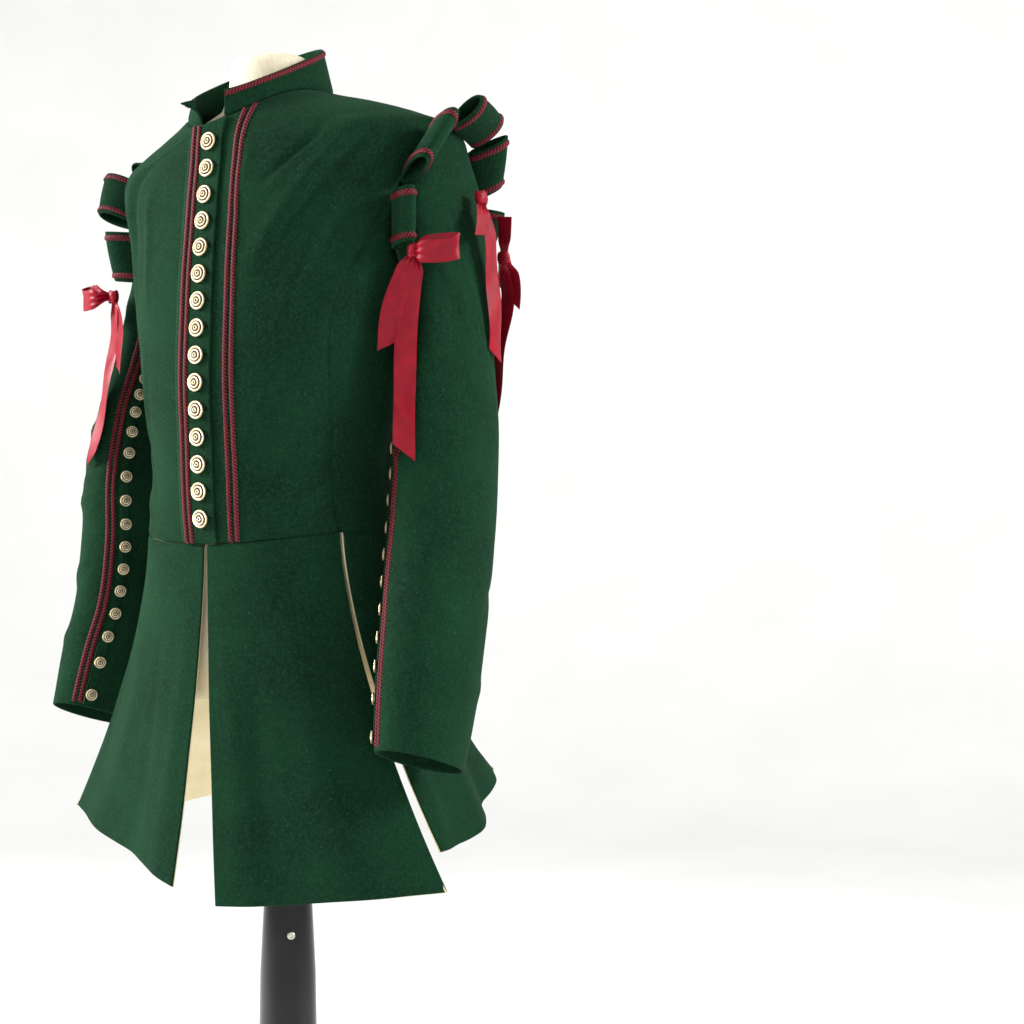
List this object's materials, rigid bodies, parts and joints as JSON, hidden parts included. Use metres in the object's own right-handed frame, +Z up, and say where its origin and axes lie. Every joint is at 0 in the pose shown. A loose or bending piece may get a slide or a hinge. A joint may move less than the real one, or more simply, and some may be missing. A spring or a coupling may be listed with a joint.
{
  "type": "jerkin on a dress form",
  "caption": "Fitted wool jerkin with a standing collar, lapped button front, shoulder wings, long sleeves and split skirt tails, worn by a limbless dress form on a round base.",
  "frame": {"origin": "middle of the underside of the round base, on the floor", "axes": "+Z up along the column, -Y towards the garment's button front, +X towards its left sleeve"},
  "size_m": [0.506, 0.3794, 1.5097],
  "materials": {
    "wool_green": "fulled wool melton, soft matte nap",
    "lining_cream": "smooth woven lining, slight sheen",
    "braid_burgundy": "twisted gimp braid, two raised rows",
    "ribbon_crimson": "satin ribbon, soft gloss along its length",
    "button_silver": "antiqued cast metal with concentric rings",
    "form_canvas": "plain stretched canvas over a padded form",
    "black_gloss": "polished black lacquer",
    "screw_steel": "plain steel"
  },
  "bodies": {
    "root": {"stand_base": "black_gloss", "stand_column": "black_gloss", "column_screw": "screw_steel", "dress_form": "form_canvas", "front_left": "wool_green", "front_right": "wool_green", "side_left": "wool_green", "side_right": "wool_green", "back_left": "wool_green", "back_right": "wool_green", "collar": "wool_green", "skirt_front_left": "wool_green", "lining_front_left": "lining_cream", "skirt_front_right": "wool_green", "lining_front_right": "lining_cream", "skirt_back_left": "wool_green", "lining_back_left": "lining_cream", "skirt_back_right": "wool_green", "lining_back_right": "lining_cream", "braid_front_left": "braid_burgundy", "braid_front_right": "braid_burgundy", "button_01": "button_silver", "button_02": "button_silver", "button_03": "button_silver", "button_04": "button_silver", "button_05": "button_silver", "button_06": "button_silver", "button_07": "button_silver", "button_08": "button_silver", "button_09": "button_silver", "button_10": "button_silver", "button_11": "button_silver", "button_12": "button_silver", "button_13": "button_silver", "button_14": "button_silver", "button_15": "button_silver", "sleeve_left_upper": "wool_green", "sleeve_left_under": "wool_green", "sleeve_buttons_left": "button_silver", "wing_left_1": "wool_green", "wing_left_2": "wool_green", "wing_left_3": "wool_green", "wing_left_4": "wool_green", "wing_left_5": "wool_green", "ribbon_left_front": "ribbon_crimson", "ribbon_left_top": "ribbon_crimson", "ribbon_left_back": "ribbon_crimson", "sleeve_right_upper": "wool_green", "sleeve_right_under": "wool_green", "sleeve_buttons_right": "button_silver", "wing_right_1": "wool_green", "wing_right_2": "wool_green", "wing_right_3": "wool_green", "wing_right_4": "wool_green", "wing_right_5": "wool_green", "ribbon_right_front": "ribbon_crimson", "ribbon_right_top": "ribbon_crimson", "ribbon_right_back": "ribbon_crimson"}
  },
  "joints": []
}
